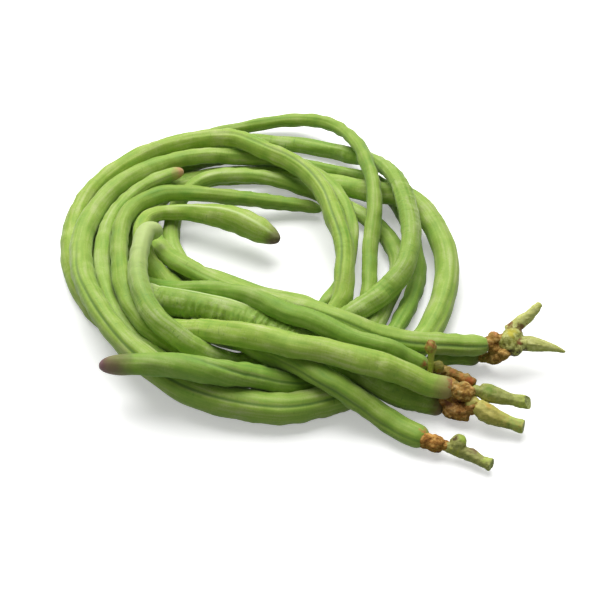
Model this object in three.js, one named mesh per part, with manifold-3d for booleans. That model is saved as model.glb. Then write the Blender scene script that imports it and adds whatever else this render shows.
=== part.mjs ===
// A bunch of yardlong beans, laid down in a loose ring on a table: six long pods, the dried
// calyx at the stem end of each, and the cut flower stalks that they grew on.
// Millimetres, +Z up. X runs to the right along the stalks, Y away from them.

import * as THREE from 'three';
import { mergeVertices } from 'three/addons/utils/BufferGeometryUtils.js';
import Module from 'manifold-3d';

const wasm = await Module();
wasm.setup();

// Driving dimensions
const CLEARANCE = 0.4; // left free between one pod and the next
const LINK = 4.5; // spacing of the points on which the resting shape is worked out
const POD_STATION = 7; // spacing of the rings of faces along a pod
const STALK_STATION = 3; // and along a stalk
const SIDES = 8; // faces round a pod or a stalk
const STEM_CAP = 3.5; // length over which a pod rounds off at its stem end
const TIP_CAP = 8; // and over which it narrows to its tip
const STALK_CAP = 0.8; // length over which a cut stalk rounds off
const SETTLE_PASSES = 400; // passes that let the pods push each other apart
const STIFFNESS = 0.6; // share of a push that a bead takes over from its two neighbours
const HOLD_ROUTE = 0.3; // how firmly a pod keeps to its route, sideways
const HOLD_LOOSE = 0.004; // and how firmly where it is free to shift
const LOOSE = 1; // marks a stretch that lies under the others and finds its own place
const SLOPE = new THREE.Vector3(0, -1, 1).normalize(); // the way a pod climbs onto another

const POD_GREEN = 0x8fb84a;
const POD_PALE = 0xa9c865;
const CALYX_BROWN = 0x9a5f2e;
const STALK_GREEN = 0x9aa83c;

// Routes: the middle of each pod from its stem end to its tip, as [x, y, height, thickness],
// with LOOSE after them on a stretch that may shift.
// Every pod runs left along the front, up the left side, over the back and down the right.
const pods = [
  {
    name: 'pod_upper_pair_back',
    color: POD_GREEN,
    route: [
      [75, -36.6, 11.5, 8.8], [66, -38, 12.8, 9.4], [55, -39.3, 14, 9.2], [41, -40.3, 15.2, 8.6],
      [28, -38.5, 17.5, 8.2], [20, -36, 20, 7.9],
      [6, -28, 19.5, 7.8], [-7, -20, 16.5, 7.8], [-20, -12, 13.5, 7.8], [-41, 0, 11, 7.8],
      [-52, 6, 11, 8], [-61, 13, 9, 8, LOOSE], [-67, 29, 6, 8, LOOSE], [-70, 50, 5, 8, LOOSE],
      [-62, 66, 5, 8, LOOSE], [-46, 75, 5, 8, LOOSE], [-23, 79, 5, 8, LOOSE], [0, 75, 5, 8.5],
      [25, 64, 7, 9], [49, 51, 9, 9.8], [61, 25, 8.2, 10.2], [60, -3, 6.2, 10.4],
      [48, -31, 5.3, 10.4], [27, -51, 5.4, 10.6, LOOSE], [4, -59, 5.5, 10.8], [-19, -59.5, 5.5, 10.8],
      [-41, -54.5, 7.5, 10.6], [-60, -45, 13, 10.2], [-78, -24.5, 17, 10], [-90, 5, 15.5, 10],
      [-91, 31, 14.5, 9.6], [-80, 56, 14.5, 8.8], [-61, 73, 14, 8], [-41, 80, 12.5, 7.4],
      [-18, 81, 8, 7, LOOSE], [0, 74, 8, 6.8, LOOSE], [14, 60, 9, 6.6, LOOSE], [22, 38, 10, 6.6],
      [21.5, 19, 6, 6.4], [17, 3, 4, 6], [9, -9, 4, 5.4, LOOSE],
    ],
  },
  {
    name: 'pod_upper_pair_front',
    color: POD_PALE,
    route: [
      [72, -36, 3.9, 6.8], [66, -36, 4.2, 7.2], [56, -36.4, 5, 7], [48, -43.5, 5, 7, LOOSE],
      [36, -49, 11.5, 6.2, LOOSE], [24, -43.5, 15, 6.2, LOOSE],
      [14, -29, 11.5, 7.7, LOOSE], [4, -20, 10, 7.6, LOOSE], [-8, -12, 5, 7.6, LOOSE],
      [-20, -6, 4.2, 7.5, LOOSE], [-34, 2, 4.2, 7.4, LOOSE], [-51, 13, 4, 7], [-58.5, 28, 4, 6.8],
      [-58, 37, 4.5, 6.6], [-57, 46, 5, 6.6, LOOSE], [-53, 57, 8, 6.6, LOOSE], [-43, 64, 12, 6.8],
      [-29, 66, 13, 7], [-14, 67, 10.5, 7, LOOSE], [2, 64, 7, 7.2, LOOSE], [18, 57, 4.5, 7.2],
      [29, 48, 4.2, 7.2], [38, 35, 4.2, 7.2], [42, 17, 4.4, 7.4], [35, -3, 4.3, 7.4],
      [24, -25, 4.2, 7.4, LOOSE], [10, -38, 4, 7.2, LOOSE], [-4, -43, 4, 7, LOOSE], [-16, -49, 8, 6.9, LOOSE],
      [-30, -51, 11, 6.8, LOOSE], [-44, -45, 11, 6.7, LOOSE], [-57, -34, 11, 6.6, LOOSE],
      [-68, -22, 11.5, 6.5, LOOSE], [-79, -2, 13, 6.4], [-82, 19, 14, 6.4], [-80, 38, 14, 6.4],
      [-71, 55, 14, 6.4], [-60, 64, 14, 6.4], [-52, 68, 14, 6],
    ],
  },
  {
    name: 'pod_middle_back',
    color: POD_GREEN,
    route: [
      [50, -49, 12, 7], [38, -46.5, 16, 8], [23, -44, 19, 8], [12, -38, 20.5, 8], [6, -33.5, 20.5, 8],
      [-4, -27, 18, 8], [-20, -17.5, 16.5, 8], [-39, -6, 12.5, 7.8], [-52, -1, 9.5, 7.8],
      [-63, 6, 7, 7.8, LOOSE], [-72, 20, 5, 7.8, LOOSE], [-77, 42, 5, 7.8, LOOSE],
      [-73, 62, 5, 7.6, LOOSE], [-58, 79, 5, 7.4, LOOSE], [-39, 89, 5, 7, LOOSE], [-14, 87, 4.6, 6.8],
      [12, 80, 4.2, 6.8], [34, 71, 4.2, 7], [45, 51, 4.5, 7.4], [49, 26, 4.6, 7.6], [48, 4, 4.6, 7.8],
      [41, -17, 4.6, 7.9], [29, -37, 4.6, 8, LOOSE], [14, -46, 4.5, 8.2, LOOSE],
      [0, -50, 5, 8.4, LOOSE], [-10, -51, 8, 8.6], [-20, -52.5, 13, 8.6], [-32, -55.5, 17.5, 8.6],
      [-50, -54, 19.5, 8.6], [-67, -53.5, 19, 8.2], [-76.5, -52, 16.5, 7.4],
    ],
  },
  {
    name: 'pod_middle_front',
    color: POD_PALE,
    route: [
      [59, -60.5, 12.8, 8], [50, -60, 14, 9], [38, -57.5, 17.5, 9.2], [23, -55, 20.5, 9.3],
      [10, -51.5, 22.5, 9.3], [-2, -49, 23, 9.3], [-15, -43.5, 21.5, 9.2], [-27, -38, 18, 9],
      [-42, -31, 13, 9], [-53, -26.5, 10, 9], [-66, -21, 6.5, 9, LOOSE], [-79, -14, 4.7, 9, LOOSE],
      [-87, -4, 4.8, 9], [-92.5, 7, 5, 9.1], [-97.5, 25, 5, 9.2], [-97, 45, 6.5, 9.2],
      [-90, 62, 9.5, 9], [-75, 77, 12, 8.8], [-55, 87, 13, 8.6], [-34, 89, 13.5, 8.4],
      [-16, 78, 16, 8.4], [0, 65, 17.5, 8.8], [10, 49, 18, 9], [15, 31, 17.5, 9], [19, 15, 15, 9],
      [19, 0, 12, 9], [18, -11, 8, 9], [13, -19, 4.6, 8.8, LOOSE], [4, -20, 4.4, 8.4, LOOSE],
      [-8, -17, 4.3, 8.2, LOOSE], [-20, -14, 4.3, 8, LOOSE], [-34, -10, 4.2, 7.9, LOOSE],
      [-48, -3, 4.2, 7.7, LOOSE], [-57, 7, 5.5, 7.4, LOOSE], [-63, 18, 9, 7.2, LOOSE],
      [-66, 28, 12, 7, LOOSE], [-65, 38, 11.5, 6.6, LOOSE], [-59, 43.5, 10, 6.2], [-50, 43.5, 10.5, 6.4],
      [-41, 40.6, 12, 7.6], [-33, 38.2, 12.5, 9.4], [-25, 34.8, 12.5, 10.4], [-17, 30, 12, 10.2],
      [-8.5, 24.7, 11, 8],
    ],
  },
  {
    name: 'pod_middle_low',
    color: POD_GREEN,
    route: [
      [56, -62, 4.5, 8], [49, -60.5, 4.6, 8.5], [37, -57.5, 8, 8.8], [23, -50.5, 13, 9], [10, -40, 13, 9],
      [0, -34.5, 11.5, 9], [-10, -29, 11, 9], [-20, -24, 12, 9], [-38, -18, 12, 9.2],
      [-52, -13.5, 9.5, 9], [-64, -7, 6.5, 8.8, LOOSE], [-74, 4, 4.6, 8.4, LOOSE],
      [-80, 20, 4.4, 8, LOOSE], [-81, 38, 4.4, 7.8, LOOSE], [-79, 56, 4.4, 7.6, LOOSE],
      [-71, 74, 4.4, 7.4, LOOSE], [-54, 89, 4.4, 7, LOOSE], [-33, 100, 4.2, 6.8, LOOSE],
      [-9, 100, 4.2, 6.8], [14, 94, 4.5, 6.9], [30, 81, 9, 7.2], [40, 60, 17, 7.8], [45, 40, 19, 8.2],
      [46.5, 18, 18, 8.4], [43, 1, 15.5, 8.4], [35, -10, 11.5, 8.4], [25, -19, 10, 8.4],
      [15, -25, 6, 8.4, LOOSE], [5, -29, 4.3, 8.4, LOOSE], [-6, -35, 4.3, 8.4, LOOSE],
      [-16, -42, 4.3, 8.4, LOOSE], [-25, -43, 5, 8.4], [-33, -42.5, 7.5, 8.4], [-41, -40.5, 12, 8.4],
      [-49, -37, 17, 8.4], [-56, -32, 20, 8.4], [-63, -19, 21, 8.6], [-66, -6, 21, 8.6],
      [-66, 7, 21, 8.6], [-65, 16.5, 20.5, 8.4], [-62.5, 22.5, 19.5, 8], [-58.5, 23.5, 17, 7.6],
    ],
  },
  {
    name: 'pod_lower',
    color: POD_PALE,
    route: [
      [48, -80, 5.5, 9], [38, -74, 5.5, 10], [29, -68, 7, 9.6], [17, -63, 13, 9.4], [8, -59, 16, 9.4],
      [-2, -51, 14.5, 9.4], [-13, -44, 13.5, 9.3], [-22, -35, 11.5, 9.2], [-32, -25, 7, 9, LOOSE],
      [-44, -20, 4.7, 8.8, LOOSE], [-58, -15, 4.6, 8.6, LOOSE], [-70, -8, 4.5, 8.4, LOOSE],
      [-80, 2, 4.4, 8.2, LOOSE], [-87, 16, 4.3, 8, LOOSE], [-89, 32, 4.3, 7.8, LOOSE],
      [-88, 52, 4.4, 7.4, LOOSE], [-80, 76, 4.3, 7, LOOSE], [-61, 95, 4, 6.8, LOOSE],
      [-38, 108, 4, 6.4], [-18, 114, 4.5, 6.3], [0, 115, 6, 6.2], [16, 106, 9.5, 6.3],
      [28, 86, 12.5, 6.4], [33, 64, 13, 6.6], [33, 44, 12, 6.8], [30, 25, 8, 6.8], [29, 7, 4.5, 6.6],
      [26, -9, 3.6, 6.5], [19, -24, 3.6, 6.5, LOOSE], [8, -33, 3.6, 6.4, LOOSE],
      [-4, -39, 3.5, 6.4, LOOSE], [-16, -46, 3.5, 6.4, LOOSE], [-30, -48, 3.6, 6.4, LOOSE],
      [-42, -42, 7, 6.4, LOOSE], [-52, -37, 13, 6.6], [-61, -31, 16, 6.8], [-70, -15, 18, 7.4],
      [-74, 4, 17, 7.6], [-75.5, 20, 16.5, 7.8], [-75, 31, 16, 7.8], [-71.5, 40, 15.5, 7.8],
      [-61, 49.5, 15, 7.8], [-50, 52, 14, 7.6], [-35, 53, 12, 7.4], [-22, 53.5, 9.5, 7], [-9, 54, 7, 6.6],
      [2, 54, 5.5, 6.2], [10, 52, 4.5, 5.6],
    ],
  },
];

// Even links along a route, each with its thickness taken from the two route rows around it.
function linksOf(route) {
  const curve = new THREE.CatmullRomCurve3(route.map(([x, y, z]) => new THREE.Vector3(x, y, z)));
  curve.arcLengthDivisions = 40 * route.length;
  const count = Math.round(curve.getLength() / LINK);
  return Array.from({ length: count + 1 }, (_, i) => {
    const t = curve.getUtoTmapping(i / count);
    const row = Math.min(Math.floor(t * (route.length - 1)), route.length - 2);
    const part = t * (route.length - 1) - row;
    const radius = THREE.MathUtils.lerp(route[row][3], route[row + 1][3], part) / 2;
    const loose = route[row][4] === LOOSE || route[row + 1][4] === LOOSE;
    return { at: curve.getPoint(t), start: curve.getPoint(t), radius, loose, held: i < 3 };
  });
}

// Closest points of two straight links: the fractions along each and the vector between them.
function closest(a0, a1, b0, b1) {
  const u = a1.clone().sub(a0);
  const v = b1.clone().sub(b0);
  const w = a0.clone().sub(b0);
  const [uu, uv, vv, uw, vw] = [u.dot(u), u.dot(v), v.dot(v), u.dot(w), v.dot(w)];
  const det = uu * vv - uv * uv;
  let s = det > 1e-9 ? THREE.MathUtils.clamp((uv * vw - vv * uw) / det, 0, 1) : 0.5;
  const t = THREE.MathUtils.clamp((uv * s + vw) / vv, 0, 1);
  s = THREE.MathUtils.clamp((uv * t - uw) / uu, 0, 1);
  return { s, t, gap: w.addScaledVector(u, s).addScaledVector(v, -t) };
}

// Every pair of links near enough to meet, on two pods or far apart on one.
function pairsNearby(chains) {
  const links = chains.flatMap((chain, pod) => {
    return chain.slice(1).map((end, i) => ({ pod, i, a: chain[i], b: end }));
  });
  const reach = (p, q) => p.a.radius + q.a.radius + LINK + 3;
  const pairs = [];
  links.forEach((p, n) => {
    for (const q of links.slice(n + 1)) {
      if (p.pod === q.pod && Math.abs(p.i - q.i) < 6) continue;
      if (p.a.at.distanceTo(q.a.at) < reach(p, q)) pairs.push([p, q]);
    }
  });
  return pairs;
}

function pushApart([p, q]) {
  const { s, t, gap } = closest(p.a.at, p.b.at, q.a.at, q.b.at);
  const overlap = p.a.radius + q.a.radius + CLEARANCE - gap.length();
  if (overlap <= 0) return;
  gap.setLength(overlap / 2);
  for (const [bead, share] of [[p.a, 1 - s], [p.b, s], [q.a, t - 1], [q.b, -t]]) {
    if (!bead.held) bead.at.addScaledVector(gap, share);
  }
}

// A pod is stiff, so a push spreads to the beads on both sides.
function spreadPushes(chain) {
  const moved = chain.map((bead) => bead.at.clone().sub(bead.start));
  for (let i = 1; i < chain.length; i++) {
    if (chain[i].held) continue;
    const next = moved[Math.min(i + 1, chain.length - 1)];
    const mean = moved[i - 1].clone().add(next).multiplyScalar(0.5);
    chain[i].at.copy(chain[i].start).add(moved[i].lerp(mean, STIFFNESS));
  }
}

// A bead returns to its route at once across the slope and only slowly along it.
function easeBack(bead, easing) {
  const back = bead.start.clone().sub(bead.at);
  const climb = back.dot(SLOPE);
  back.addScaledVector(SLOPE, -climb);
  bead.at.addScaledVector(back, easing * (bead.loose ? HOLD_LOOSE : HOLD_ROUTE));
  bead.at.addScaledVector(SLOPE, easing * climb * HOLD_LOOSE);
}

// The resting shape: pods that start where their routes say, then give way to each other.
function settle(chains) {
  let pairs = [];
  for (let pass = 0; pass < SETTLE_PASSES; pass++) {
    if (pass % 20 === 0) pairs = pairsNearby(chains);
    const easing = pass < SETTLE_PASSES * 0.85 ? 1 : 0;
    for (const chain of chains) {
      spreadPushes(chain);
      for (const bead of chain) easeBack(bead, easing);
    }
    for (let repeat = 0; repeat < 4; repeat++) {
      pairs.forEach(pushApart);
      for (const bead of chains.flat()) bead.at.z = Math.max(bead.at.z, bead.radius);
    }
  }
}

// A closed body of round rings along a bent line: a lathed spindle laid along the line.
function bentSpindle(line, radii, sides, station, startCap, endCap) {
  const curve = new THREE.CatmullRomCurve3(line);
  curve.arcLengthDivisions = 8 * line.length;
  const length = curve.getLength();
  const thickness = (u) => {
    const row = Math.min(Math.floor(u * (radii.length - 1)), radii.length - 2);
    return THREE.MathUtils.lerp(radii[row], radii[row + 1], u * (radii.length - 1) - row);
  };
  const stations = [];
  const inner = Math.max(2, Math.round((length - startCap - endCap) / station));
  for (const f of [0, 0.12, 0.5]) stations.push([f * startCap, Math.sqrt(1 - (1 - f) ** 2)]);
  for (let i = 0; i <= inner; i++) stations.push([startCap + (i / inner) * (length - startCap - endCap), 1]);
  for (const f of [0.5, 0.12, 0]) stations.push([length - f * endCap, Math.sqrt(1 - (1 - f) ** 2)]);
  const profile = stations.map(([s, swell]) => new THREE.Vector2(swell * thickness(s / length), s));
  const body = new THREE.LatheGeometry(profile, sides);
  const frames = framesAlong(curve, stations.map(([s]) => s / length));
  const place = body.getAttribute('position');
  for (let i = 0; i < place.count; i++) {
    const { at, side, up } = frames[i % stations.length];
    const [x, z] = [place.getX(i), place.getZ(i)];
    place.setXYZ(i, ...at.clone().addScaledVector(side, x).addScaledVector(up, z).toArray());
  }
  body.computeVertexNormals();
  return body;
}

// Points of a curve with a side and an up direction that turn no more than the curve does.
function framesAlong(curve, fractions) {
  let side = null;
  return fractions.map((u) => {
    const along = curve.getTangentAt(u);
    if (side === null) side = new THREE.Vector3(0, 0, 1).cross(along);
    side = side.clone().addScaledVector(along, -side.dot(along)).normalize();
    return { at: curve.getPointAt(u), side, up: side.clone().cross(along) };
  });
}

// One stalk from its branches: the overlapping spindles joined into a single body.
function joined(branches) {
  const solids = branches.map((branch) => {
    branch.deleteAttribute('normal');
    branch.deleteAttribute('uv');
    const welded = mergeVertices(branch, 1e-4);
    const vertProperties = welded.getAttribute('position').array;
    return new wasm.Manifold(new wasm.Mesh({ numProp: 3, vertProperties, triVerts: welded.index.array }));
  });
  const whole = solids.reduce((sum, next) => sum.add(next)).getMesh();
  const body = new THREE.BufferGeometry();
  body.setAttribute('position', new THREE.BufferAttribute(whole.vertProperties, 3));
  body.setIndex(new THREE.BufferAttribute(whole.triVerts, 1));
  body.computeVertexNormals();
  return body;
}

function stalk(points, radii, cap = STALK_CAP) {
  const line = points.map((point) => new THREE.Vector3(...point));
  return bentSpindle(line, radii, SIDES, STALK_STATION, cap, cap);
}

function solid(name, geometry, color, roughness) {
  const piece = new THREE.Mesh(geometry, new THREE.MeshStandardMaterial({ color, roughness, metalness: 0 }));
  piece.name = name;
  return piece;
}

const chains = pods.map((pod) => linksOf(pod.route));
settle(chains);

const bunch = new THREE.Group();
pods.forEach((pod, i) => {
  const line = chains[i].map((bead) => bead.at);
  const radii = chains[i].map((bead) => bead.radius);
  bunch.add(solid(pod.name, bentSpindle(line, radii, SIDES, POD_STATION, STEM_CAP, TIP_CAP), pod.color, 0.6));
});

// The dried calyx at the stem end of each pod
const calyces = {
  calyx_upper_back: [[[75.7, -36, 12.3], [77.2, -35.1, 13.1], [78.6, -34.6, 13.6]], [2.7, 3.3, 2.6]],
  calyx_upper_front: [
    [[72.8, -36.5, 4.1], [75.5, -38.3, 5.6], [77.6, -40.2, 8.4], [79.4, -41.2, 10.6]],
    [2.6, 3, 3.3, 3],
  ],
  calyx_middle_back: [
    [[50.6, -49.4, 12.4], [55, -51.3, 12.5], [61, -54, 12.4], [66.4, -57.4, 12.2]],
    [2.4, 1.9, 1.7, 1.5],
  ],
  calyx_middle_front: [[[59.5, -60.7, 12.7], [62.5, -62, 12.3], [65.8, -63.2, 11.8]], [3.8, 4, 3.1]],
  calyx_middle_low: [[[56.5, -62.2, 4.6], [60, -64.8, 5], [64.5, -67, 6.1]], [3.8, 4.2, 3.2]],
  calyx_lower: [[[48.5, -80.5, 5.5], [51, -81.3, 5.3], [53.9, -82, 5.2]], [3.6, 3.8, 2.8]],
};
for (const [name, [points, radii]] of Object.entries(calyces)) {
  bunch.add(solid(name, stalk(points, radii), CALYX_BROWN, 0.9));
}

// The cut flower stalks, and a withered flower still standing on the middle one
const stalks = {
  stalk_upper: [
    stalk([[83.2, -31.8, 15], [83, -36.5, 13.6], [83.2, -41.5, 12.4]], [3.2, 3.9, 3.1], 1.5),
    stalk([[82, -32.5, 14.5], [86.5, -31, 18], [90.8, -29.2, 21.2], [94.6, -26.7, 25]], [2.6, 2.7, 2.2, 1.3]),
    stalk(
      [[83, -37, 13.4], [88.5, -37.4, 13.4], [95, -38.2, 12.9], [104.6, -39.9, 11]],
      [2.6, 3.2, 1.9, 0.5],
    ),
  ],
  stalk_middle_short: [
    stalk(
      [[68.4, -59.8, 11.3], [72.3, -61.6, 11.2], [76, -62.9, 10.9], [80.2, -64, 10.6], [84.6, -64.8, 10.2],
        [88.2, -65.3, 9.8]],
      [2.6, 3.6, 3.1, 2.1, 2.7, 2.5],
    ),
  ],
  stalk_middle: [
    stalk(
      [[66.8, -65.8, 9.4], [70.6, -68.4, 8], [76, -70.6, 6.6], [81, -72.2, 5.8], [85.2, -73.3, 5.2]],
      [2.9, 3.9, 3.1, 2.3, 2.8],
    ),
  ],
  stalk_lower: [
    stalk(
      [[54.6, -82.4, 5.1], [58, -83.6, 4.8], [62.5, -85.4, 4.4], [66.8, -88, 4.1], [71.2, -90.9, 4]],
      [1.8, 2.4, 2.6, 2, 2.5],
    ),
    stalk([[56.6, -82, 6.2], [60.8, -82.8, 6.8]], [3, 3.1], 1.5),
  ],
  flower_stub: [
    stalk([[50, -54.3, 12.5], [50, -54, 17.5], [49.9, -52.6, 21.8], [49.7, -51.4, 24.6]], [1.1, 1, 1, 1.2]),
    stalk([[49.8, -52, 23.2], [49.6, -50.6, 26], [49.5, -49.6, 28]], [1.6, 2.3, 1.2]),
  ],
  flower_bud: [stalk([[53.2, -54, 14.8], [53, -53.2, 16.9], [52.8, -52.4, 19]], [1.2, 1.8, 1.1])],
};
for (const [name, branches] of Object.entries(stalks)) {
  bunch.add(solid(name, joined(branches), STALK_GREEN, 0.7));
}

// The origin is under the middle of the bunch, on the table.
const box = new THREE.Box3().setFromObject(bunch);
bunch.position.set(-(box.min.x + box.max.x) / 2, -(box.min.y + box.max.y) / 2, -box.min.z);
bunch.updateMatrixWorld(true);

export default bunch;
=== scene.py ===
import math

import bmesh
import bpy
import numpy as np
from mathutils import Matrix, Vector, noise


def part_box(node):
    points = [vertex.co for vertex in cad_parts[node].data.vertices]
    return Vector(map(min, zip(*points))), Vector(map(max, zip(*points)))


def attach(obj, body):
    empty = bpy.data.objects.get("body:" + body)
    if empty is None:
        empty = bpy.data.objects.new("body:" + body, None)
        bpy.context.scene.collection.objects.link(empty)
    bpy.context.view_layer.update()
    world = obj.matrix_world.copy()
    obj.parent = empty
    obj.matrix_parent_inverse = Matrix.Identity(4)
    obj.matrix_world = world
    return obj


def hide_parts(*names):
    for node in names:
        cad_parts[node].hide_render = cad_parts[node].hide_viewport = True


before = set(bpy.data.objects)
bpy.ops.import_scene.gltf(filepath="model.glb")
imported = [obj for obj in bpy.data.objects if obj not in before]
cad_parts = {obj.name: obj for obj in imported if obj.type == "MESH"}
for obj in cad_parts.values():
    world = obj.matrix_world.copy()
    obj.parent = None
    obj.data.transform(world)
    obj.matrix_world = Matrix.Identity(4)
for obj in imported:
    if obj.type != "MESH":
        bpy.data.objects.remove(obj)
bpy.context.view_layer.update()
bpy.ops.object.select_all(action="DESELECT")
mm = 0.001
fullTurn = 2 * math.pi


def linear(hexCode):
    # sRGB hex to the linear colour that a shader reads
    parts = [int(hexCode[i:i + 2], 16) / 255 for i in (1, 3, 5)]
    return tuple([c / 12.92 if c <= 0.04045 else ((c + 0.055) / 1.055) ** 2.4 for c in parts] + [1.0])


def newMaterial(name):
    material = bpy.data.materials.new(name)
    material.use_nodes = True
    material.node_tree.nodes.clear()
    return material


def addNode(material, kind, links=None, stops=(), **settings):
    # adds a node with its links and, on a ramp, its (place, hex) stops. A setting is a property of the
    # node or the value of an input: To_Min is the input "To Min", and in1 is the second input
    node = material.node_tree.nodes.new(kind)
    for key, value in settings.items():
        if hasattr(node, key):
            setattr(node, key, value)
        else:
            socket = int(key[2:]) if key.startswith("in") and key[2:].isdigit() else key.replace("_", " ")
            node.inputs[socket].default_value = value
    for key, socket in (links or {}).items():
        material.node_tree.links.new(socket, node.inputs[key])
    for number in range(2, len(stops)):
        node.color_ramp.elements.new(1.0)
    for number, (place, hexCode) in enumerate(stops):
        node.color_ramp.elements[number].position = place
        node.color_ramp.elements[number].color = linear(hexCode)
    return node


def addSpots(m, colour, spots):
    # spots of another colour, each its middle and reach in mm and its hex, with edges that are ragged
    # by noise about 1.4 mm across
    place = addNode(m, "ShaderNodeTexCoord").outputs["Object"]
    ragged = addNode(m, "ShaderNodeTexNoise", {"Vector": place}, Scale=0.7 / mm, Detail=4.0)
    wobble = addNode(m, "ShaderNodeMapRange", {"Value": ragged.outputs[0]}, From_Min=0.3, From_Max=0.7,
                     To_Min=-0.6, To_Max=0.6)
    for x, y, z, reach, hexCode in spots:
        away = addNode(m, "ShaderNodeVectorMath", {0: place}, operation="DISTANCE",
                       in1=(x * mm, y * mm, z * mm))
        away = addNode(m, "ShaderNodeMath", {0: away.outputs["Value"]}, operation="DIVIDE", in1=reach * mm)
        edge = addNode(m, "ShaderNodeMath", {0: away.outputs[0], 1: wobble.outputs[0]}, operation="ADD")
        inside = addNode(m, "ShaderNodeMapRange", {"Value": edge.outputs[0]}, From_Min=0.45, From_Max=1.25,
                         To_Min=1.0, To_Max=0.0)
        mixed = addNode(m, "ShaderNodeMix", {"Factor": inside.outputs[0], "A": colour}, data_type="RGBA")
        mixed.inputs["B"].default_value = linear(hexCode)
        colour = mixed.outputs[2]
    return colour


def startPiece(name, mesh):
    # links a new piece and makes it the one that operators work on
    piece = bpy.data.objects.new(name + "_skin", mesh)
    bpy.context.collection.objects.link(piece)
    bpy.context.view_layer.objects.active = piece
    piece.select_set(True)
    return piece


def turnOutwards():
    # turns every face of the active piece outwards
    bpy.ops.object.mode_set(mode="EDIT")
    bpy.ops.mesh.select_all(action="SELECT")
    bpy.ops.mesh.normals_make_consistent(inside=False)
    bpy.ops.object.mode_set(mode="OBJECT")


def finishPiece(piece, name):
    # the piece stands for the CAD node of its name
    piece.select_set(False)
    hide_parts(name)
    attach(piece, "root")


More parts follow.
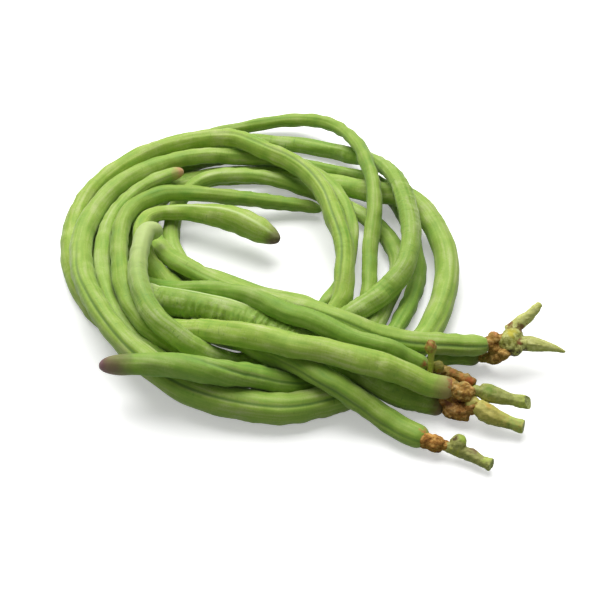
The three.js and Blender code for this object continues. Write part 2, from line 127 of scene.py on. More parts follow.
# What makes each pod its own. A share is of the pod's length from its stem end.
# dark, mid, light: tones of the skin, set darker on pod_middle_back as painted shade; tip: colour of the tip,
# a pale painted light on pod_middle_low, and tipLength how many mm it reaches
# tipCap, stemCap: mm over which each end is rounded off; stemTint: (mm, colour) where the calyx grips
# wrinkle: (share, strength) of the cross wrinkles; seedPitch: mm from seed to seed
# seam: (share, degrees from upright, how plain it is), and the back seam lies opposite
# fuller: (share, mm more radius than the solid's); spots: x, y, z and reach in mm with a colour
pods = {
    "pod_upper_pair_back": {
        "slot": "pod_green", "dark": "#6ca01f", "mid": "#9ebc47", "light": "#cbd295",
        "tip": "#8fb64a", "tipLength": 4, "tipCap": 7, "stemTint": (0.8, "#b3a468"), "stemCap": 7.0,
        "wrinkle": [(0, 0.35), (1, 0.35)], "seedPitch": 12,
        "seam": [(0, -50, 1), (0.05, -52, 1), (0.1, -45, 0.6), (0.3, -20, 0.2), (0.5, -38, 0.7),
                 (0.54, -38, 1), (0.61, -34, 1), (0.65, -31, 1), (0.7, -24, 0.9), (0.75, 5, 0.2),
                 (1, 30, 0.2)],
        "fuller": [(0.48, 0), (0.54, 1.1), (0.61, 1.1), (0.67, 0)],
        "spots": [(74.4, -48.5, 15.5, 1.0, "#b8884e"), (73.2, -51.5, 12.5, 1.6, "#8f9a4a")],
    },
    "pod_upper_pair_front": {
        "slot": "pod_pale", "dark": "#689f1f", "mid": "#9dbb49", "light": "#c8d296",
        "tip": "#c79a6c", "tipLength": 5, "tipCap": 6, "stemTint": (4, "#6f7a35"), "stemCap": 4.0,
        "wrinkle": [(0, 0.3), (1, 0.3)], "seedPitch": 10,
        "seam": [(0, 60, 0.6), (0.3, 40, 0.2), (0.5, 60, 0.2), (0.8, 80, 0.2), (1, 60, 0.2)],
        "fuller": [(0.18, 0), (0.22, 1.1), (0.29, 1.1), (0.34, 0)],
        "spots": [(71, -56, 14.5, 2.4, "#8a5a34")],
    },
    "pod_middle_back": {
        # this pod's dark, mid and light are darker and greener than the other pods': painted shade for the
        # shaded strands it makes
        "slot": "pod_green", "dark": "#5d9619", "mid": "#87ac32", "light": "#b5c772",
        "tip": "#75434a", "tipLength": 13, "tipCap": 11, "stemTint": (1.0, "#a88a48"), "stemCap": 5.0,
        "wrinkle": [(0, 0.35), (1, 0.35)], "seedPitch": 10,
        "seam": [(0, 0, 0.4), (0.2, 20, 0.2), (0.8, -20, 0.3), (0.86, -37, 0.9), (0.9, -45, 1),
                 (0.925, 0, 0.8), (0.96, 30, 0.3), (1, 40, 0.2)],
        "fuller": [(0.8, 0), (0.86, 0.8), (0.93, 0.8), (0.97, 0)],
        "spots": [(47.0, -62.5, 15.2, 1.3, "#b4743c"), (49.0, -62.0, 13.6, 1.5, "#9c5f2e")],
    },
    "pod_middle_front": {
        "slot": "pod_pale", "dark": "#6ba21e", "mid": "#a2bf44", "light": "#d3d897",
        "tip": "#5c3a34", "tipLength": 6, "tipCap": 13, "stemTint": (7, "#a08a55"), "stemCap": 4.0,
        "wrinkle": [(0, 0.5), (1, 0.5)], "seedPitch": 11,
        "seam": [(0, 40, 0.4), (0.2, 60, 0.2), (0.45, 20, 0.3), (0.58, 15, 0.9), (0.67, 17, 0.9),
                 (0.72, 40, 0.2), (0.9, 180, 0.3), (0.93, 184, 1), (0.955, 190, 1), (0.975, 198, 1),
                 (1, 204, 0.8)],
        "fuller": [(0.77, 0), (0.81, 1), (0.86, 1), (0.9, 0), (0.95, 0.8), (0.985, 0.8), (1, 0.2)],
        "spots": [(57.4, -73.5, 16.4, 2.4, "#a56a35")],
    },
    "pod_middle_low": {
        "slot": "pod_green", "dark": "#62981c", "mid": "#94b43e", "light": "#c8d296",
        # its pale tip colour, fading out from about 13 to 53 mm off the tip, is painted light that pales the
        # hook this pod ends in
        "tip": "#bccf80", "tipLength": 42, "tipCap": 5, "stemTint": (6, "#6d5c2c"), "stemCap": 4.0,
        "wrinkle": [(0, 0.4), (0.08, 2.9), (0.24, 3.3), (0.3, 0.9), (1, 0.7)], "seedPitch": 9,
        "seam": [(0, -120, 0.3), (0.09, -150, 1), (0.22, -158, 1), (0.3, -130, 0.3), (0.6, 50, 0.3),
                 (1, 30, 0.2)],
        "fuller": [(0.1, 0), (0.14, 0.9), (0.24, 0.9), (0.29, 0)],
        "spots": [(54.5, -74.5, 6.5, 3.2, "#6f5a2c")],
    },
    "pod_lower": {
        "slot": "pod_pale", "dark": "#60961a", "mid": "#90b037", "light": "#bbc876",
        "tip": "#93b850", "tipLength": 5, "tipCap": 8, "stemTint": (0.4, "#a8a04c"), "stemCap": 4.5,
        "wrinkle": [(0, 0.4), (1, 0.4)], "seedPitch": 10,
        "seam": [(0, -60, 0.8), (0.06, -70, 0.9), (0.12, -40, 0.4), (0.5, 50, 0.3), (1, 30, 0.2)],
        "fuller": [(0, 0), (1, 0)],
        "spots": [(46.2, -91.0, 10.4, 1.8, "#c08a3c")],
    },
}

# What all pods share. The noise rows are (height in mm, mm along the pod, detail round it).
podSkin = {
    "solidSides": 8,                # points round the solid
    "endRings": 3,                  # rings of the solid's own rounded ends, which are rounded anew here
    "ringStep": 0.6,                # mm between rings along a pod
    "evenRings": 12,                # rings to each side over which the radius is evened out
    "finePoints": 3,                # points close to a seam, on each side of it
    "fineStep": 0.12,               # radians between them
    "widePoints": 9,                # points on each side between the two seams
    "calmEnd": 14,                  # mm from each end over which the relief grows to its full height
    "calmShare": 0.2,               # share of the relief that is left at the very end
    "oval": 0.06,                   # share by which the seams stand further out and the sides further in
    "groove": (0.42, 0.13),         # the seam where it is plain: mm deep, radians wide
    "lips": (0.14, 0.16, 0.33),     # the lips beside it: mm high, radians wide, radians off the seam
    "rib": (0.38, 0.15),            # the back seam: mm high, radians wide
    "seeds": 0.17,                  # mm, swelling over each seed
    "wander": (2.5, 60, 0.1),       # noise that shifts the seeds, its height in seeds
    "veins": (0.2, 40, 2.6),        # fine long ridges
    "lumps": (0.57, 26, 0.8),       # uneven thickness
    "dents": (0.38, 9, 1.1),        # smaller unevenness
    "pressed": (1.8, 30, 0.8),      # noise that says how much the skin is pressed together
    "pressedShare": 0.3,            # how much it is where that noise is nought
    "wrinkles": (0.48, 1.6, 0.8),   # fine cross wrinkles where it is pressed together
    "folds": (0.24, 4, 1),          # broader ones between them
    "tickAndCreaseShadeColour": "#5f8f28",              # short dark marks across a pod, partly painted shade in its fine cross wrinkles
    "seamLine": "#47701f",
    "ribLine": "#d0e39a",
    "roughness": 0.62,
    "bloom": 0.15,                  # waxy bloom that pales the skin where the light grazes it
}


def ringsOf(node):
    # rings of a pod's solid from its stem end to its tip: their middles and radii. A pole is a vertex from
    # which rings of neighbours as wide as the solid lead to the other pole, and the stem's is further along x
    solid = bmesh.new()
    solid.from_mesh(node.data)
    bmesh.ops.remove_doubles(solid, verts=solid.verts, dist=0.02 * mm)
    for pole in sorted(solid.verts, key=lambda v: -v.co.x):
        rings, seen = [[pole]], {pole}
        while rings[-1]:
            ring = list({edge.other_vert(v) for v in rings[-1] for edge in v.link_edges} - seen)
            seen.update(ring)
            rings.append(ring)
        rings.pop()
        if len(rings[-1]) == 1 and {len(ring) for ring in rings[1:-1]} == {podSkin["solidSides"]}:
            break
    middles = [sum((v.co for v in ring), Vector()) / len(ring) for ring in rings]
    thick = [sum((v.co - middle).length for v in ring) / len(ring) for ring, middle in zip(rings, middles)]
    solid.free()
    return np.array(middles), np.array(thick)


def smoothRun(places, values, wanted):
    # cubic curve through values at places, read at the wanted places
    slopes = np.gradient(values, places, axis=0)
    i = np.clip(np.searchsorted(places, wanted) - 1, 0, len(places) - 2)
    span = places[i + 1] - places[i]
    t = (wanted - places[i]) / span
    t, span = t.reshape(-1, 1), span.reshape(-1, 1)
    return ((2 * t**3 - 3 * t**2 + 1) * values[i] + (t**3 - 2 * t**2 + t) * span * slopes[i]
            + (3 * t**2 - 2 * t**3) * values[i + 1] + (t**3 - t**2) * span * slopes[i + 1])


def podLine(node):
    # a pod's middle line: distance along it every ringStep, and there its place, radius, side and up
    middles, thick = ringsOf(node)
    end, even = podSkin["endRings"], podSkin["evenRings"]
    keep = [0] + list(range(end, len(middles) - end)) + [len(middles) - 1]   # without the rounded ends
    thick[0], thick[-1] = thick[end], thick[-1 - end]
    middles, thick = middles[keep], thick[keep]
    places = np.concatenate([[0], np.cumsum(np.linalg.norm(np.diff(middles, axis=0), axis=1))])
    walk = np.linspace(0, places[-1], int(places[-1] / mm / podSkin["ringStep"]) + 1)
    middle = smoothRun(places, middles, walk)
    radius = np.pad(np.interp(walk, places, thick), even, mode="edge")
    radius = np.convolve(radius, np.ones(2 * even + 1) / (2 * even + 1), mode="valid")
    along = np.gradient(middle, walk, axis=0)
    along /= np.linalg.norm(along, axis=1)[:, None]
    up = np.array([0, 0, 1.0]) - along * along[:, 2:3]
    up /= np.linalg.norm(up, axis=1)[:, None]
    return walk, middle, radius, np.cross(along, up), up


def sectionAngles():
    # angles round a pod from its seam, closer together at the two seams
    count = podSkin["finePoints"]
    fine = np.arange(-count, count + 1) * podSkin["fineStep"]
    wide = np.linspace(fine[-1], math.pi - fine[-1], podSkin["widePoints"] + 2)[1:-1]
    return np.sort(np.mod(np.concatenate([fine, fine + math.pi, wide, -wide]), fullTurn))


def readRows(rows, share):
    # each value of rows that start with a share of the length, at every share wanted
    columns = np.array(rows, dtype=float).T
    return [np.interp(share, columns[0], column) for column in columns[1:]]


def ridge(off, height, width, middle=0):
    # a rounded ridge, by the angle off its seam
    return height * np.exp(-((off - middle) / width) ** 2)


def ripple(run, angle, row, shift):
    # noise on the straightened pod by one of the noise rows, each shift from another part of it
    height, pace, detail = row
    value = np.empty(run.shape)
    for i in np.ndindex(run.shape):
        place = Vector((math.cos(angle[i]) * detail, math.sin(angle[i]) * detail, run[i] / mm / pace))
        value[i] = noise.noise(place + Vector((shift, 0, shift)))
    return height * value


def podRelief(run, angle, plain, pressing, seedPitch, shift):
    # mm that the skin stands above the smooth pod: seams, veins, lumps, wrinkles and seeds
    skin = podSkin
    fromSeam = np.minimum(angle, fullTurn - angle)
    fromRib = np.abs(angle - math.pi)
    pressed = np.clip(skin["pressedShare"] + ripple(run, angle, skin["pressed"], shift), 0, 1) * pressing
    wander = ripple(run, angle * 0, skin["wander"], shift + 5)
    relief = ridge(fromSeam, *skin["lips"]) - ridge(fromSeam, *skin["groove"]) + ridge(fromRib, *skin["rib"])
    relief *= plain
    relief += ripple(run, angle, skin["veins"], shift + 7)
    relief += ripple(run, angle, skin["lumps"], shift + 9) + ripple(run, angle, skin["dents"], shift + 2)
    wrinkles = ripple(run, angle, skin["wrinkles"], shift + 3) + ripple(run, angle, skin["folds"], shift)
    relief += pressed * wrinkles
    relief += skin["seeds"] * np.cos(fullTurn * (run / mm / seedPitch + wander)) * np.sin(angle) ** 2
    return relief


def inOrder(field):
    # one vertex for each end of a pod and a ring of them at each place between
    return np.concatenate([field[0, :1], field[1:-1].reshape(-1, field.shape[2]), field[-1, :1]])


def podFaces(rings, count):
    # a fan over each end and quads between the rings, for vertices in that order
    last, end = 1 + (rings - 3) * count, 1 + (rings - 2) * count
    faces = [(0, 1 + j, 1 + (j + 1) % count) for j in range(count)]
    for a in range(1, last, count):
        b = a + count
        faces += [(a + j, b + j, b + (j + 1) % count, a + (j + 1) % count) for j in range(count)]
    return faces + [(end, last + (j + 1) % count, last + j) for j in range(count)]


def growPod(name, settings, shift):
    # made another way: the skin is laid ring by ring round the pod's own line, which no operator follows
    walk, middle, radius, side, up = podLine(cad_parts[name])
    share = walk / walk[-1]
    degrees, plain = readRows(settings["seam"], share)
    pressing, = readRows(settings["wrinkle"], share)
    fuller, = readRows(settings["fuller"], share)
    run, angle = np.meshgrid(walk, sectionAngles(), indexing="ij")
    fromStem, fromTip = run / mm, (walk[-1] - run) / mm
    calm = podSkin["calmShare"]
    full = calm + (1 - calm) * np.clip(np.minimum(fromStem, fromTip) / podSkin["calmEnd"], 0, 1)
    relief = podRelief(run, angle, plain[:, None], pressing[:, None], settings["seedPitch"], shift)
    reach = (radius + fuller * mm)[:, None] * (1 + podSkin["oval"] * np.cos(2 * angle)) + relief * full * mm
    for cap, ends in ((settings["stemCap"], fromStem), (settings["tipCap"], fromTip)):
        reach *= np.sqrt(np.clip(1 - (1 - np.clip(ends / cap, 0, 1)) ** 2, 0, 1))
    turn = (np.radians(degrees)[:, None] + angle)[..., None]
    place = middle[:, None] + reach[..., None] * (np.sin(turn) * side[:, None] + np.cos(turn) * up[:, None])
    place[..., 2] = np.maximum(place[..., 2], 0)   # nothing sinks into the table
    mesh = bpy.data.meshes.new(name + "_skin")
    mesh.from_pydata(inOrder(place).tolist(), [], podFaces(*run.shape))
    # for the material: the pod as if straightened, and mm from its ends with how plain its seam is
    straight = (reach * np.cos(angle), reach * np.sin(angle), run)
    ends = (fromStem, fromTip, np.broadcast_to(plain[:, None], run.shape))
    for layerName, parts in (("straight", straight), ("ends", ends)):
        layer = mesh.attributes.new(layerName, "FLOAT_VECTOR", "POINT")
        layer.data.foreach_set("vector", inOrder(np.stack(parts, axis=-1)).ravel())
    piece = startPiece(name, mesh)
    bpy.ops.object.shade_smooth()
    turnOutwards()
    mesh.materials.append(beanSkin(name, settings))
    finishPiece(piece, name)
    print(name, "skin:", len(mesh.polygons), "faces,", round(walk[-1] / mm), "mm long")


def beanSkin(name, settings):
    # fresh bean skin: waxy and softly glossy, pale streaks over mid green, darker along its seam
    m = newMaterial("bean skin " + name)
    where = addNode(m, "ShaderNodeAttribute", attribute_name="straight").outputs["Vector"]
    sides = addNode(m, "ShaderNodeSeparateXYZ", {"Vector": where})
    ends = addNode(m, "ShaderNodeAttribute", attribute_name="ends").outputs["Vector"]
    ends = addNode(m, "ShaderNodeSeparateXYZ", {"Vector": ends})
    # streaks about 1 mm wide and 25 mm long, clouds about 9 mm across, flecks of 0.6 mm
    streakPlace = addNode(m, "ShaderNodeMapping", {"Vector": where}, Scale=(1 / mm, 1 / mm, 0.04 / mm))
    streaks = addNode(m, "ShaderNodeTexNoise", {"Vector": streakPlace.outputs[0]}, Scale=0.9, Detail=4.0)
    clouds = addNode(m, "ShaderNodeTexNoise", {"Vector": where}, Scale=0.11 / mm, Detail=3.0)
    flecks = addNode(m, "ShaderNodeTexNoise", {"Vector": where}, Scale=1.7 / mm, Detail=2.0)
    mixed = addNode(m, "ShaderNodeMath", {0: streaks.outputs[0], 1: clouds.outputs[0]}, operation="ADD")
    mixed = addNode(m, "ShaderNodeMath", {0: flecks.outputs[0], 2: mixed.outputs[0]},
                    operation="MULTIPLY_ADD", in1=0.3)
    tone = addNode(m, "ShaderNodeMapRange", {"Value": mixed.outputs[0]}, From_Min=0.6, From_Max=1.7)
    colour = addNode(m, "ShaderNodeValToRGB", {"Fac": tone.outputs[0]},
                     [(0.0, settings["dark"]), (0.5, settings["mid"]), (1.0, settings["light"])])
    # short dark ticks across the pod, about 0.7 mm by 3 mm: partly marks of the skin, partly painted shade in
    # the fine cross wrinkles that the same noise bumps in, so plainer on a wrinkled pod
    wrinkled = max(strength for share, strength in settings["wrinkle"])
    tickPlace = addNode(m, "ShaderNodeMapping", {"Vector": where}, Scale=(0.35 / mm, 0.35 / mm, 1.5 / mm))
    ticks = addNode(m, "ShaderNodeTexNoise", {"Vector": tickPlace.outputs[0]}, Scale=1.0, Detail=2.0)
    tickAndCreaseShade = addNode(m, "ShaderNodeMapRange", {"Value": ticks.outputs[0]}, From_Min=0.63, From_Max=0.75,
                       To_Max=min(0.3 + 0.3 * wrinkled, 0.8))
    colour = addNode(m, "ShaderNodeMix", {"Factor": tickAndCreaseShade.outputs[0], "A": colour.outputs[0]},
                     data_type="RGBA", B=linear(podSkin["tickAndCreaseShadeColour"]))
    # a dark line along the seam and a pale one along the back, fading from 0.2 to 0.8 mm off them
    offLine = addNode(m, "ShaderNodeMath", {0: sides.outputs["Y"]}, operation="ABSOLUTE")
    nearLine = addNode(m, "ShaderNodeMapRange", {"Value": offLine.outputs[0]}, From_Min=0.2 * mm,
                       From_Max=0.8 * mm, To_Min=1.0, To_Max=0.0)
    shown = addNode(m, "ShaderNodeMapRange", {"Value": ends.outputs["Z"]}, From_Min=0.4, From_Max=1.0,
                    To_Max=0.7)
    line = addNode(m, "ShaderNodeMath", {0: nearLine.outputs[0], 1: shown.outputs[0]}, operation="MULTIPLY")
    front = addNode(m, "ShaderNodeMath", {0: sides.outputs["X"]}, operation="GREATER_THAN", in1=0.0)
    lineColour = addNode(m, "ShaderNodeMix", {"Factor": front.outputs[0]}, data_type="RGBA",
                         A=linear(podSkin["ribLine"]), B=linear(podSkin["seamLine"]))
    colour = addNode(m, "ShaderNodeMix", {"Factor": line.outputs[0], "A": colour.outputs[2],
                                          "B": lineColour.outputs[2]}, data_type="RGBA")
    # coloured tip (on pod_middle_low a pale painted light over the hook it ends in), and a little brown where
    # the dried calyx grips the stem end, both with a ragged edge
    ragged = addNode(m, "ShaderNodeMapRange", {"Value": clouds.outputs[0]}, From_Min=0.3, From_Max=0.7,
                     To_Min=-2.5, To_Max=2.5)
    for end, length, hexCode in (("Y", settings["tipLength"], settings["tip"]), ("X", *settings["stemTint"])):
        off = addNode(m, "ShaderNodeMath", {0: ends.outputs[end], 1: ragged.outputs[0]}, operation="ADD")
        near = addNode(m, "ShaderNodeMapRange", {"Value": off.outputs[0]}, From_Min=length * 0.3,
                       From_Max=length * 1.25, To_Min=1.0, To_Max=0.0)
        colour = addNode(m, "ShaderNodeMix", {"Factor": near.outputs[0], "A": colour.outputs[2]},
                         data_type="RGBA", B=linear(hexCode))
    colour = addSpots(m, colour.outputs[2], settings["spots"])
    # bump: skin grain of 0.6 mm, the streaks as fine long ridges and the ticks as fine cross wrinkles
    grain = addNode(m, "ShaderNodeTexNoise", {"Vector": where}, Scale=1.6 / mm, Detail=2.0)
    height = addNode(m, "ShaderNodeMath", {0: streaks.outputs[0], 1: grain.outputs[0]}, operation="ADD")
    height = addNode(m, "ShaderNodeMath", {0: ticks.outputs[0], 2: height.outputs[0]},
                     operation="MULTIPLY_ADD", in1=0.8 + wrinkled)
    bump = addNode(m, "ShaderNodeBump", {"Height": height.outputs[0]}, Strength=0.35, Distance=0.12 * mm)
    skin = addNode(m, "ShaderNodeBsdfPrincipled", {"Base Color": colour, "Normal": bump.outputs[0]},
                   Roughness=podSkin["roughness"], Sheen_Weight=podSkin["bloom"], Sheen_Roughness=0.6,
                   Subsurface_Weight=0.1, Subsurface_Radius=(0.6, 1.0, 0.25), Subsurface_Scale=1.5 * mm)
    addNode(m, "ShaderNodeOutputMaterial", {"Surface": skin.outputs[0]})
    return m


noiseStep = 11.3   # how far apart the pods' noises lie, so that no two pods are alike
for number, (podName, podSettings) in enumerate(pods.items()):
    growPod(podName, podSettings, noiseStep * (number + 1))
print("pods done")


# The cut stalks, the dried calyces between them and the pods, and the flower stub with its bud.
# dark, mid, light: tones, with a mid only on a calyx; swell: mm that the whole piece grows
# stretch: scale about the middle; lumps: (size, height) in mm; knots: x, y, z and radius in mm of balls
# that fill a join; cut: a point on the cut face in mm and the way the face looks
# spots: x, y, z and reach in mm with a colour
stems = {
    "stalk_upper": {
        "slot": "stalk", "dark": "#b0b650", "light": "#e8e89c",
        "swell": 0.1, "stretch": (1, 1, 1), "lumps": [(3.5, 0.6), (1.2, 0.25)],
        "knots": [(81.6, -49.0, 14.0, 3.7), (84.0, -47.0, 15.0, 3.1), (83.6, -51.8, 12.4, 3.1),
                  (79.6, -49.4, 13.2, 2.6)],
        "spots": [(82.4, -50.0, 14.6, 5.0, "#8a8c38"), (82.0, -48.0, 18.0, 2.3, "#c4ba3c"),
                  (82.6, -54.0, 10.5, 4.2, "#4a4026"), (86.6, -51.5, 11.0, 2.8, "#5f4a30"),
                  (86.4, -45.5, 17.6, 2.0, "#8a6540"), (82.0, -44.0, 18.0, 1.8, "#8c6438"),
                  (85.0, -51.0, 15.5, 1.3, "#8c5a34"), (88.0, -47.2, 18.5, 1.6, "#9c8a5c"),
                  (93.8, -39.6, 24.4, 1.8, "#c4c866"), (94.0, -51.5, 10.6, 2.2, "#8b7f45")],
    },
    "stalk_middle_short": {
        "slot": "stalk", "dark": "#8a9440", "light": "#b9bd70",
        "swell": 0.1, "stretch": (1, 1, 1), "lumps": [(3.0, 0.6), (1.0, 0.15)],
        "knots": [(66.6, -72.6, 11.2, 2.2)],
        "cut": ((86.4, -77.6, 9.8), (1.0, -0.3, 0.75)), "cutColour": "#c3cf7c",
        "spots": [(71.0, -74.4, 14.2, 2.4, "#7f9838"), (69.0, -72.5, 12.0, 2.0, "#7a6a32"),
                  (74.0, -77.6, 8.4, 1.6, "#6e5530"), (83.5, -77.6, 10.5, 3.0, "#c0ce64"),
                  (67.9, -73.5, 9.4, 1.5, "#8a5a30")],
    },
    "stalk_middle": {
        "slot": "stalk", "dark": "#aaa748", "light": "#d9cd76",
        "swell": 0.1, "stretch": (1, 1, 1), "lumps": [(3.0, 0.6), (1.0, 0.12)],
        "knots": [(64.8, -77.4, 9.8, 2.8)],
        "cut": ((84.0, -85.4, 5.3), (1.0, -0.4, 0.15)), "cutColour": "#d6d89a",
        "spots": [(80.5, -84.0, 6.2, 5.0, "#b9c868"), (76.0, -84.6, 3.6, 4.0, "#8d9142"),
                  (66.0, -78.6, 9.2, 1.9, "#b47a3a"), (83.6, -86.6, 5.5, 1.3, "#6f8a30"),
                  (70.5, -80.4, 11.5, 1.3, "#c9a54e")],
    },
    "stalk_lower": {
        "slot": "stalk", "dark": "#868b42", "light": "#b3b36a",
        "swell": 0.1, "stretch": (1, 1, 1), "lumps": [(3.0, 1.1), (1.0, 0.25)],
        "knots": [(53.2, -94.5, 5.1, 1.9), (54.6, -94.9, 4.9, 1.9), (58.4, -94.4, 6.9, 3.1)],
        "cut": ((70.2, -102.8, 4.0), (1.0, -0.7, 0.15)), "cutColour": "#ccd389",
        "spots": [(53.6, -94.6, 5.4, 1.6, "#b08a3c"), (57.0, -96.8, 4.4, 2.4, "#a8ab3e"),
                  (60.0, -94.0, 9.8, 2.2, "#a3bb48"), (57.2, -94.2, 9.4, 1.2, "#5c4c24"),
                  (63.5, -97.4, 6.2, 2.0, "#85724a"), (69.0, -101.6, 5.0, 2.6, "#b8c660"),
                  (54.4, -94.6, 3.6, 1.1, "#4f3c1e")],
    },
    "flower_stub": {
        "slot": "stalk", "dark": "#9aa43c", "light": "#c4c75e",
        "swell": 0.2, "stretch": (1, 1, 1), "lumps": [(1.6, 0.45), (0.7, 0.2)],
        "spots": [(49.0, -63.2, 26.6, 2.9, "#94602e"), (48.6, -64.2, 28.4, 1.3, "#c08a4c"),
                  (49.3, -66.6, 14.6, 2.4, "#9c7a36")],
    },
    "flower_bud": {
        "slot": "stalk", "dark": "#7c7a30", "light": "#aca352",
        "swell": 0.35, "stretch": (1.15, 1, 1), "lumps": [(1.6, 0.5), (0.6, 0.15)],
        "spots": [(52.2, -66.6, 15.6, 1.8, "#8c5f2e"), (51.6, -64.8, 19.4, 1.1, "#8f8a3a")],
    },
    "calyx_upper_back": {
        "slot": "calyx", "dark": "#734a1e", "mid": "#a67e38", "light": "#c8a764",
        "swell": 0.1, "stretch": (1.1, 1.1, 1.2), "lumps": [(3.2, 1.4), (1.3, 0.6), (0.6, 0.15)],
        "knots": [(74.4, -48.6, 12.0, 3.3), (76.4, -50.2, 10.2, 3.0), (79.4, -48.0, 13.4, 2.6)],
        "spots": [(78.0, -48.6, 10.6, 1.8, "#6b3f24"), (76.0, -46.5, 16.5, 1.4, "#c98f5c")],
    },
    "calyx_upper_front": {
        "slot": "calyx", "dark": "#7a5528", "mid": "#b48c44", "light": "#d8b872",
        "swell": 0.05, "stretch": (0.8, 0.8, 0.85), "lumps": [(3.2, 1.6), (1.3, 0.6), (0.6, 0.15)],
        "knots": [(79.4, -53.2, 11.0, 2.6), (72.4, -48.8, 4.4, 2.6)],
        "spots": [(73.0, -50.0, 5.0, 2.2, "#7a8036"), (79.0, -54.5, 8.0, 1.6, "#a9744a")],
    },
    "calyx_middle_back": {
        "slot": "calyx", "dark": "#66531f", "mid": "#8c7534", "light": "#b09a5c",
        "swell": 0.5, "stretch": (1.08, 1, 1), "lumps": [(3.0, 1.0), (1.2, 0.5), (0.6, 0.2)],
        "spots": [(51.5, -62.5, 15.0, 2.6, "#8b9440"), (58.0, -65.8, 14.6, 1.6, "#9c6a34"),
                  (61.5, -68.0, 14.2, 1.6, "#b5803f"), (64.6, -69.6, 14.0, 1.8, "#a55f2c")],
    },
    "calyx_middle_front": {
        "slot": "calyx", "dark": "#79511f", "mid": "#b0863c", "light": "#dcbe7c",
        "swell": 0.1, "stretch": (1.1, 1.0, 1), "lumps": [(3.6, 1.5), (1.4, 0.4), (0.6, 0.15)],
        "knots": [(56.8, -72.4, 13.0, 3.5), (58.2, -73.6, 8.8, 3.2)],
        "spots": [(60.0, -72.2, 16.5, 2.0, "#9c8a4c"), (64.5, -74.0, 15.5, 1.4, "#d3a668"),
                  (59.5, -76.5, 10.0, 2.0, "#6d4227")],
    },
    "calyx_middle_low": {
        "slot": "calyx", "dark": "#70481c", "mid": "#b3803e", "light": "#dfb778",
        "swell": 0.1, "stretch": (1.1, 1.0, 1), "lumps": [(3.6, 1.5), (1.4, 0.5), (0.6, 0.2)],
        "knots": [(54.2, -73.4, 5.0, 3.4), (64.4, -78.4, 8.2, 3.0)],
        "spots": [(56.0, -76.0, 8.4, 1.8, "#a26a4c"), (63.5, -80.4, 7.6, 1.4, "#b5894e"),
                  (58.0, -80.0, 3.0, 2.0, "#4c3019")],
    },
    "calyx_lower": {
        "slot": "calyx", "dark": "#6e431a", "mid": "#ad7832", "light": "#deb566",
        "swell": -0.1, "stretch": (1.0, 0.95, 1), "lumps": [(3.2, 1.4), (1.3, 0.5), (0.6, 0.15)],
        "knots": [(46.4, -92.6, 5.8, 3.3), (53.6, -94.5, 5.2, 2.1)],
        "spots": [(48.2, -91.6, 8.6, 1.8, "#dba655"), (50.4, -93.8, 6.4, 1.2, "#7a4420"),
                  (51.0, -96.6, 3.4, 1.6, "#5f3518")],
    },
}

# What all of those share
stemShape = {
    "voxel": 0.32,     # mm, how fine the one skin over a piece is
    "smoothing": 4,    # times that it is smoothed before the lumps
    "rim": 0.25,       # mm, skin left round a cut face
    "sunk": 0.12,      # mm that a cut face has dried back behind its rim
    "crease": 55,      # degrees between faces from which an edge stays sharp
}


def stemSkin(name, settings):
    # dry plant tissue: matt, ribbed along a stalk and flaky on a calyx, with scars of other colours
    m = newMaterial(("dried calyx " if "mid" in settings else "cut stalk skin ") + name)
    place = addNode(m, "ShaderNodeTexCoord").outputs["Object"]
    if "mid" in settings:
        # papery flakes about 1 mm by 2 mm, torn across
        run = addNode(m, "ShaderNodeMapping", {"Vector": place}, Scale=(0.48 / mm, 1 / mm, 1 / mm))
        stops = [(0.0, settings["dark"]), (0.5, settings["mid"]), (1.0, settings["light"])]
        roughness, depth, spread = 0.82, 0.2 * mm, 0.24
    else:
        # fibres 0.5 mm wide and 6 mm long, along x as the stalks lie
        run = addNode(m, "ShaderNodeMapping", {"Vector": place}, Scale=(0.16 / mm, 1.9 / mm, 1.9 / mm))
        stops = [(0.0, settings["dark"]), (1.0, settings["light"])]
        roughness, depth, spread = 0.6, 0.12 * mm, 0.32
    # patches about 2 mm across and grain of 0.7 mm
    pattern = addNode(m, "ShaderNodeTexNoise", {"Vector": run.outputs[0]}, Scale=1.0, Detail=5.0,
                      Roughness=0.65)
    patches = addNode(m, "ShaderNodeTexNoise", {"Vector": place}, Scale=0.56 / mm, Detail=6.0, Roughness=0.65)
    grain = addNode(m, "ShaderNodeTexNoise", {"Vector": place}, Scale=1.5 / mm, Detail=4.0)
    mixed = addNode(m, "ShaderNodeMath", {0: patches.outputs[0], 1: pattern.outputs[0]}, operation="ADD")
    tone = addNode(m, "ShaderNodeMapRange", {"Value": mixed.outputs[0]}, From_Min=1 - spread,
                   From_Max=1 + spread)
    colour = addNode(m, "ShaderNodeValToRGB", {"Fac": tone.outputs[0]}, stops)
    colour = addSpots(m, colour.outputs[0], settings["spots"])
    height = addNode(m, "ShaderNodeMath", {0: mixed.outputs[0], 1: grain.outputs[0]}, operation="ADD")
    bump = addNode(m, "ShaderNodeBump", {"Height": height.outputs[0]}, Strength=0.7, Distance=depth)
    skin = addNode(m, "ShaderNodeBsdfPrincipled", {"Base Color": colour, "Normal": bump.outputs[0]},
                   Roughness=roughness, Specular_IOR_Level=0.35, Subsurface_Weight=0.08,
                   Subsurface_Radius=(1.0, 0.8, 0.3), Subsurface_Scale=mm)
    addNode(m, "ShaderNodeOutputMaterial", {"Surface": skin.outputs[0]})
    return m


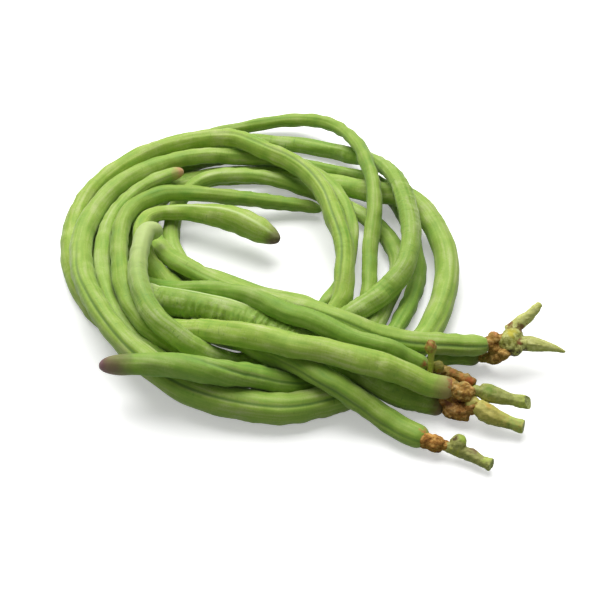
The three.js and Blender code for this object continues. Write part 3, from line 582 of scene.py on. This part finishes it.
def cutFace(name, hexCode):
    # sap-dry cut stalk: matt pale pith with darker pores 0.5 mm apart
    m = newMaterial("cut stalk end " + name)
    place = addNode(m, "ShaderNodeTexCoord").outputs["Object"]
    pores = addNode(m, "ShaderNodeTexVoronoi", {"Vector": place}, Scale=2.2 / mm)
    patches = addNode(m, "ShaderNodeTexNoise", {"Vector": place}, Scale=0.9 / mm, Detail=3.0)
    darker = addNode(m, "ShaderNodeMath", {0: pores.outputs["Distance"], 1: patches.outputs[0]},
                     operation="MULTIPLY")
    tone = addNode(m, "ShaderNodeMapRange", {"Value": darker.outputs[0]}, From_Min=0.05, From_Max=0.35)
    colour = addNode(m, "ShaderNodeValToRGB", {"Fac": tone.outputs[0]}, [(0.0, "#6f7040"), (1.0, hexCode)])
    bump = addNode(m, "ShaderNodeBump", {"Height": darker.outputs[0]}, Strength=0.5, Distance=0.2 * mm)
    pith = addNode(m, "ShaderNodeBsdfPrincipled",
                   {"Base Color": colour.outputs[0], "Normal": bump.outputs[0]}, Roughness=0.75)
    addNode(m, "ShaderNodeOutputMaterial", {"Surface": pith.outputs[0]})
    return m


def cutStalk(point, way):
    # cuts the active stalk flat, sets the face back inside a rim and gives it the second material
    bpy.ops.object.mode_set(mode="EDIT")
    bpy.ops.mesh.select_all(action="SELECT")
    bpy.ops.mesh.bisect(plane_co=[c * mm for c in point], plane_no=way, use_fill=True, clear_outer=True)
    bpy.ops.mesh.select_mode(type="FACE")
    bpy.ops.mesh.inset(thickness=stemShape["rim"] * mm, depth=-stemShape["sunk"] * mm, use_even_offset=False)
    bpy.context.object.active_material_index = 1
    bpy.ops.object.material_slot_assign()
    bpy.ops.mesh.poke()
    bpy.ops.object.mode_set(mode="OBJECT")


def shapeStem(name, settings):
    # a copy of the solid, merged, stretched, joined with its knots under one fine skin and made lumpy
    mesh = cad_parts[name].data.copy()
    mesh.name = name + "_skin"
    mesh.materials.clear()
    piece = startPiece(name, mesh)
    bpy.ops.object.mode_set(mode="EDIT")
    bpy.ops.mesh.select_all(action="SELECT")
    bpy.ops.mesh.remove_doubles(threshold=0.01 * mm)
    low, high = [Vector(corner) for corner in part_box(name)]
    bpy.ops.transform.resize(value=settings["stretch"], center_override=(low + high) / 2)
    for x, y, z, radius in settings.get("knots", ()):
        bpy.ops.mesh.primitive_uv_sphere_add(segments=16, ring_count=8, radius=radius * mm,
                                             location=(x * mm, y * mm, z * mm))
    bpy.ops.object.mode_set(mode="OBJECT")
    steps = [("REMESH", {"mode": "VOXEL", "voxel_size": stemShape["voxel"] * mm}),
             ("SMOOTH", {"factor": 0.5, "iterations": stemShape["smoothing"]}),
             ("DISPLACE", {"strength": settings["swell"] * mm, "mid_level": 0.0})]
    for number, (size, height) in enumerate(settings["lumps"]):
        lump = bpy.data.textures.new(name + "_lumps_" + str(number), "CLOUDS")
        lump.noise_scale = size * mm
        lump.noise_depth = 1
        steps.append(("DISPLACE", {"texture": lump, "strength": height * mm, "mid_level": 0.5}))
    for kind, options in steps:
        step = piece.modifiers.new(kind.lower(), kind)
        for key, value in options.items():
            setattr(step, key, value)
        bpy.ops.object.modifier_apply(modifier=step.name)
    piece.data.materials.append(stemSkin(name, settings))
    if "cut" in settings:
        piece.data.materials.append(cutFace(name, settings["cutColour"]))
        cutStalk(*settings["cut"])
    turnOutwards()
    bpy.ops.object.shade_smooth_by_angle(angle=math.radians(stemShape["crease"]))
    finishPiece(piece, name)
    print(name, "skin:", len(piece.data.polygons), "faces")


for stemName, stemSettings in stems.items():
    shapeStem(stemName, stemSettings)
print("stalks and calyces done")


# Table, light and camera, in metres unless a note says otherwise
studio = {
    "tableSize": 8.0,
    "floor": "#f6f6f5",
    "bounce": "#6f864c",          # green light that goes back and forth between the pods and the floor
    "glow": 0.32,                 # light the floor gives to the view alone, so that it shows near white
    "glowGrows": (0.06, 0.3),     # from the middle: where the glow starts to grow and where it is plain white
    "world": 0.19,                # white light from all round
    "keyPower": 23.0,             # watts
    "keyPlace": (-0.14, 0.54, 1.18),
    "keySize": 1.2,
    "aim": (-0.71, -12.38, 0),    # mm, where the camera and the lamp look
    "cameraRise": 45,             # degrees above the table
    "cameraAway": 0.56,
    "lens": 80,                   # mm
    "sensor": 36,                 # mm
}


def tableCard():
    # matt white card: it shows the object's shadow and fades to plain white away from it
    m = newMaterial("white table card")
    matt = addNode(m, "ShaderNodeBsdfDiffuse", Color=linear(studio["floor"]))
    place = addNode(m, "ShaderNodeTexCoord").outputs["Object"]
    away = addNode(m, "ShaderNodeVectorMath", {0: place}, operation="LENGTH").outputs["Value"]
    near, far = studio["glowGrows"]
    strength = addNode(m, "ShaderNodeMapRange", {"Value": away}, From_Min=near, From_Max=far,
                       To_Min=studio["glow"])
    glow = addNode(m, "ShaderNodeEmission", {"Strength": strength.outputs[0]})
    viewed = addNode(m, "ShaderNodeAddShader", {0: matt.outputs[0], 1: glow.outputs[0]})
    bounced = addNode(m, "ShaderNodeBsdfDiffuse", Color=linear(studio["bounce"]))
    rays = addNode(m, "ShaderNodeLightPath")
    seen = addNode(m, "ShaderNodeMath", {0: rays.outputs["Is Camera Ray"], 1: rays.outputs["Is Glossy Ray"]},
                   operation="MAXIMUM")
    seen = addNode(m, "ShaderNodeMath", {0: seen.outputs[0], 1: rays.outputs["Is Transmission Ray"]},
                   operation="MAXIMUM")
    surface = addNode(m, "ShaderNodeMixShader",
                      {0: seen.outputs[0], 1: bounced.outputs[0], 2: viewed.outputs[0]})
    addNode(m, "ShaderNodeOutputMaterial", {"Surface": surface.outputs[0]})
    return m


bpy.ops.mesh.primitive_plane_add(size=studio["tableSize"], location=(0, 0, 0))
table = bpy.context.active_object
table.name = "table_top"
table.select_set(False)
table.data.materials.append(tableCard())

world = bpy.data.worlds.new("studio")
bpy.context.scene.world = world
world.use_nodes = True
sky = world.node_tree.nodes["Background"]
sky.inputs["Color"].default_value = (1, 1, 1, 1)
cameraRay = addNode(world, "ShaderNodeLightPath").outputs["Is Camera Ray"]
level = addNode(world, "ShaderNodeMapRange", {"Value": cameraRay}, To_Min=studio["world"])
world.node_tree.links.new(level.outputs[0], sky.inputs["Strength"])

aim = Vector(studio["aim"]) * mm
panel = bpy.data.lights.new("overhead panel", "AREA")
panel.energy = studio["keyPower"]
panel.size = studio["keySize"]
keyLamp = bpy.data.objects.new("overhead panel", panel)
keyLamp.location = studio["keyPlace"]
keyLamp.rotation_euler = (aim - keyLamp.location).to_track_quat("-Z", "Y").to_euler()
bpy.context.collection.objects.link(keyLamp)

viewer = bpy.data.cameras.new("view")
viewer.lens = studio["lens"]
viewer.sensor_width = studio["sensor"]
camera = bpy.data.objects.new("view", viewer)
rise = math.radians(studio["cameraRise"])
camera.location = aim + Vector((0, -math.cos(rise), math.sin(rise))) * studio["cameraAway"]
camera.rotation_euler = (math.pi / 2 - rise, 0, 0)
bpy.context.collection.objects.link(camera)
bpy.context.scene.camera = camera
bpy.context.scene.view_settings.view_transform = "Standard"
print("table, light and camera done")
